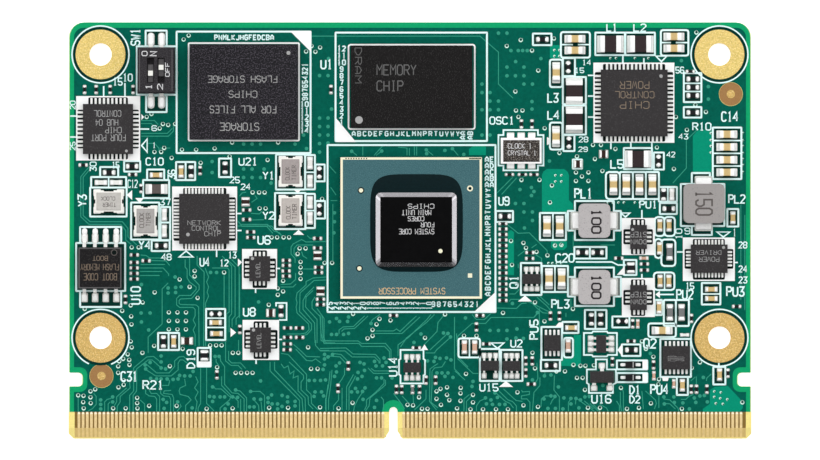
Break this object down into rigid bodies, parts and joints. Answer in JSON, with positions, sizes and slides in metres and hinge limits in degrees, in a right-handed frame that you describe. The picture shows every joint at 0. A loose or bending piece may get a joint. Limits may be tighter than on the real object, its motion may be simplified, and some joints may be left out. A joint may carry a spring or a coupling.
{
  "type": "system on module",
  "caption": "Credit-card style computer module: a green circuit board with a processor, memory chips, power parts, a slide switch and a keyed edge connector.",
  "frame": {"origin": "middle of the board's underside", "axes": "+X along the edge connector with the slide switch on the -X side, +Y away from the connector, +Z out of the component face"},
  "size_m": [0.082, 0.05, 0.0041],
  "materials": {
    "board": "glossy green solder mask over woven glass laminate, gold plated contacts",
    "substrate": "satin green-grey laminate",
    "die": "dark polished face with pale ground slopes",
    "memory_mould": "fine grained black mould compound",
    "chip_mould": "fine grained dark grey mould compound",
    "capacitor_ceramic": "satin tan ceramic between tinned ends",
    "filter_ferrite": "dark satin ferrite between tinned ends",
    "coil_ferrite": "matte pale grey pressed metal powder",
    "crystal_can": "white ceramic base under a satin metal lid",
    "switch_plastic": "satin dark grey moulded plastic",
    "slider_plastic": "satin white moulded plastic"
  },
  "bodies": {
    "module": {"circuit_board": "board", "processor_substrate": "substrate", "processor_die": "die", "memory_chip": "memory_mould", "flash_storage_chip": "memory_mould", "power_controller": "chip_mould", "usb_hub": "chip_mould", "ethernet_controller": "chip_mould", "level_shifter_1": "chip_mould", "level_shifter_2": "chip_mould", "regulator_1": "chip_mould", "regulator_2": "chip_mould", "regulator_3": "chip_mould", "regulator_4": "chip_mould", "regulator_5": "chip_mould", "boot_flash": "chip_mould", "transistor_pair_1": "chip_mould", "transistor_pair_2": "chip_mould", "logic_gate_1": "chip_mould", "logic_gate_2": "chip_mould", "logic_gate_3": "chip_mould", "reset_supervisor": "chip_mould", "crystal_1": "crystal_can", "crystal_2": "crystal_can", "crystal_3": "crystal_can", "crystal_4": "crystal_can", "filter_inductor_1": "filter_ferrite", "filter_inductor_2": "filter_ferrite", "filter_inductor_3": "filter_ferrite", "filter_inductor_4": "filter_ferrite", "filter_inductor_5": "filter_ferrite", "power_inductor_1": "coil_ferrite", "power_inductor_2": "coil_ferrite", "power_inductor_3": "coil_ferrite", "capacitor_1": "capacitor_ceramic", "capacitor_2": "capacitor_ceramic", "capacitor_3": "capacitor_ceramic", "capacitor_4": "capacitor_ceramic", "capacitor_5": "capacitor_ceramic", "capacitor_6": "capacitor_ceramic", "capacitor_7": "capacitor_ceramic", "capacitor_8": "capacitor_ceramic", "capacitor_9": "capacitor_ceramic", "capacitor_10": "capacitor_ceramic", "capacitor_11": "capacitor_ceramic", "capacitor_12": "capacitor_ceramic", "capacitor_13": "capacitor_ceramic", "capacitor_14": "capacitor_ceramic", "capacitor_15": "capacitor_ceramic", "capacitor_16": "capacitor_ceramic", "capacitor_17": "capacitor_ceramic", "capacitor_18": "capacitor_ceramic", "capacitor_19": "capacitor_ceramic", "capacitor_20": "capacitor_ceramic", "switch_housing": "switch_plastic", "oscillator": "crystal_can"},
    "slider_1": {"switch_slider_1": "slider_plastic"},
    "slider_2": {"switch_slider_2": "slider_plastic"}
  },
  "joints": [
    {"name": "slider_1_travel", "type": "slide", "parent": "module", "child": "slider_1", "axis": [0, 1, 0], "range_m": [0, 0.0007]},
    {"name": "slider_2_travel", "type": "slide", "parent": "module", "child": "slider_2", "axis": [0, 1, 0], "range_m": [-0.0007, 0]}
  ]
}
